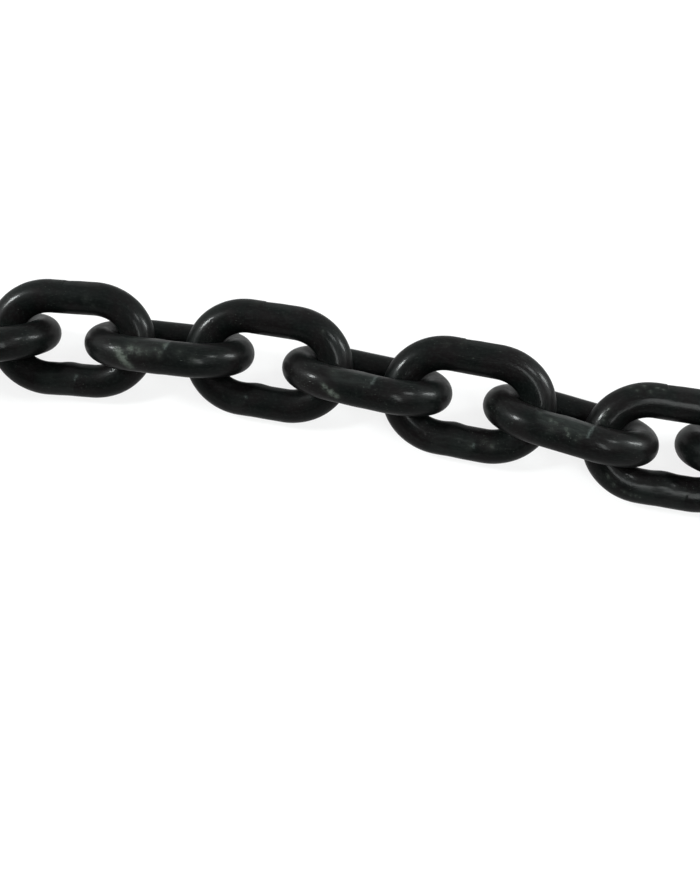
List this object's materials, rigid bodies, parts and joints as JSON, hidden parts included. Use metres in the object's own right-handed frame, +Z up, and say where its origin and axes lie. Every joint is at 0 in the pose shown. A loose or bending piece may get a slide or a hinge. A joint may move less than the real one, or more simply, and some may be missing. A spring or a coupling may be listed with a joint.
{
  "type": "short-link chain length",
  "caption": "Length of short-link welded steel chain with a black coating, laid out loose; every link swings in the next, and both ends are open for a hook or shackle.",
  "frame": {"origin": "centre of the bounding box, at the floor that the chain lies on", "axes": "+X along the chain, +Z up from the floor, +Y across the chain, away from the viewer"},
  "size_m": [0.9862, 0.1194, 0.0341],
  "materials": {
    "black_lacquer": "semi-gloss black coating, a little worn, with pale scuffs"
  },
  "bodies": {
    "link_01": {"link_01": "black_lacquer"},
    "link_02": {"link_02": "black_lacquer"},
    "link_03": {"link_03": "black_lacquer"},
    "link_04": {"link_04": "black_lacquer"},
    "link_05": {"link_05": "black_lacquer"},
    "link_06": {"link_06": "black_lacquer"},
    "link_07": {"link_07": "black_lacquer"},
    "link_08": {"link_08": "black_lacquer"},
    "link_09": {"link_09": "black_lacquer"},
    "link_10": {"link_10": "black_lacquer"},
    "link_11": {"link_11": "black_lacquer"},
    "link_12": {"link_12": "black_lacquer"},
    "link_13": {"link_13": "black_lacquer"},
    "link_14": {"link_14": "black_lacquer"},
    "link_15": {"link_15": "black_lacquer"},
    "link_16": {"link_16": "black_lacquer"},
    "link_17": {"link_17": "black_lacquer"},
    "link_18": {"link_18": "black_lacquer"},
    "link_19": {"link_19": "black_lacquer"},
    "link_20": {"link_20": "black_lacquer"},
    "link_21": {"link_21": "black_lacquer"},
    "link_22": {"link_22": "black_lacquer"},
    "link_23": {"link_23": "black_lacquer"},
    "link_24": {"link_24": "black_lacquer"},
    "link_25": {"link_25": "black_lacquer"}
  },
  "joints": [
    {"name": "swing_02", "type": "hinge", "parent": "link_01", "child": "link_02", "pos_m": [-0.43355, 0.01833, 0.01696], "axis": [-0.0401, 0.6548, 0.7547], "range_deg": [-100, 100]},
    {"name": "swing_03", "type": "hinge", "parent": "link_02", "child": "link_03", "pos_m": [-0.39457, 0.0209, 0.01696], "axis": [0.0629, -0.653, 0.7547], "range_deg": [-100, 100]},
    {"name": "swing_04", "type": "hinge", "parent": "link_03", "child": "link_04", "pos_m": [-0.35574, 0.02488, 0.01696], "axis": [0.0515, -0.654, -0.7547], "range_deg": [-100, 100]},
    {"name": "swing_05", "type": "hinge", "parent": "link_04", "child": "link_05", "pos_m": [-0.31675, 0.02783, 0.01696], "axis": [-0.08, 0.6512, -0.7547], "range_deg": [-100, 100]},
    {"name": "swing_06", "type": "hinge", "parent": "link_05", "child": "link_06", "pos_m": [-0.27809, 0.03288, 0.01696], "axis": [-0.0572, 0.6536, 0.7547], "range_deg": [-100, 100]},
    {"name": "swing_07", "type": "hinge", "parent": "link_06", "child": "link_07", "pos_m": [-0.23919, 0.03604, 0.01696], "axis": [0.0629, -0.653, 0.7547], "range_deg": [-100, 100]},
    {"name": "swing_08", "type": "hinge", "parent": "link_07", "child": "link_08", "pos_m": [-0.20024, 0.03985, 0.01696], "axis": [0.0458, -0.6545, -0.7547], "range_deg": [-100, 100]},
    {"name": "swing_09", "type": "hinge", "parent": "link_08", "child": "link_09", "pos_m": [-0.16126, 0.0424, 0.01696], "axis": [0.056, 0.6537, -0.7547], "range_deg": [-100, 100]},
    {"name": "swing_10", "type": "hinge", "parent": "link_09", "child": "link_10", "pos_m": [-0.12341, 0.03799, 0.01696], "axis": [0.0902, 0.6498, 0.7547], "range_deg": [-100, 100]},
    {"name": "swing_11", "type": "hinge", "parent": "link_10", "child": "link_11", "pos_m": [-0.08487, 0.03228, 0.01696], "axis": [-0.1252, -0.644, 0.7547], "range_deg": [-100, 100]},
    {"name": "swing_12", "type": "hinge", "parent": "link_11", "child": "link_12", "pos_m": [-0.04671, 0.02448, 0.01696], "axis": [-0.1676, -0.6343, -0.7547], "range_deg": [-100, 100]},
    {"name": "swing_13", "type": "hinge", "parent": "link_12", "child": "link_13", "pos_m": [-0.00923, 0.01409, 0.01696], "axis": [0.1442, 0.64, -0.7547], "range_deg": [-100, 100]},
    {"name": "swing_14", "type": "hinge", "parent": "link_13", "child": "link_14", "pos_m": [0.02889, 0.00576, 0.01696], "axis": [0.2222, 0.6173, 0.7547], "range_deg": [-100, 100]},
    {"name": "swing_15", "type": "hinge", "parent": "link_14", "child": "link_15", "pos_m": [0.06494, -0.00816, 0.01696], "axis": [-0.1252, -0.644, 0.7547], "range_deg": [-100, 100]},
    {"name": "swing_16", "type": "hinge", "parent": "link_15", "child": "link_16", "pos_m": [0.10256, -0.01431, 0.01696], "axis": [-0.1063, -0.6837, -0.7219], "range_deg": [-100, 100]},
    {"name": "swing_17", "type": "hinge", "parent": "link_16", "child": "link_17", "pos_m": [0.13672, -0.0158, 0.01696], "axis": [0.0913, 0.6497, -0.7547], "range_deg": [-100, 100]},
    {"name": "swing_18", "type": "hinge", "parent": "link_17", "child": "link_18", "pos_m": [0.17546, -0.02131, 0.01696], "axis": [0.1139, 0.6461, 0.7547], "range_deg": [-100, 100]},
    {"name": "swing_19", "type": "hinge", "parent": "link_18", "child": "link_19", "pos_m": [0.21385, -0.02833, 0.01696], "axis": [-0.08, -0.6512, 0.7547], "range_deg": [-100, 100]},
    {"name": "swing_20", "type": "hinge", "parent": "link_19", "child": "link_20", "pos_m": [0.25256, -0.03271, 0.01696], "axis": [-0.0743, -0.6518, -0.7547], "range_deg": [-100, 100]},
    {"name": "swing_21", "type": "hinge", "parent": "link_20", "child": "link_21", "pos_m": [0.29145, -0.03708, 0.01696], "axis": [0.0401, 0.6548, -0.7547], "range_deg": [-100, 100]},
    {"name": "swing_22", "type": "hinge", "parent": "link_21", "child": "link_22", "pos_m": [0.33035, -0.03909, 0.01696], "axis": [0.0343, 0.6552, 0.7547], "range_deg": [-100, 100]},
    {"name": "swing_23", "type": "hinge", "parent": "link_22", "child": "link_23", "pos_m": [0.36944, -0.04108, 0.01696], "axis": [-0.0057, -0.656, 0.7547], "range_deg": [-100, 100]},
    {"name": "swing_24", "type": "hinge", "parent": "link_23", "child": "link_24", "pos_m": [0.40843, -0.04112, 0.01696], "axis": [0.0057, -0.656, -0.7547], "range_deg": [-100, 100]},
    {"name": "swing_25", "type": "hinge", "parent": "link_24", "child": "link_25", "pos_m": [0.44752, -0.04066, 0.01696], "axis": [-0.0343, 0.6552, -0.7547], "range_deg": [-100, 100]}
  ]
}
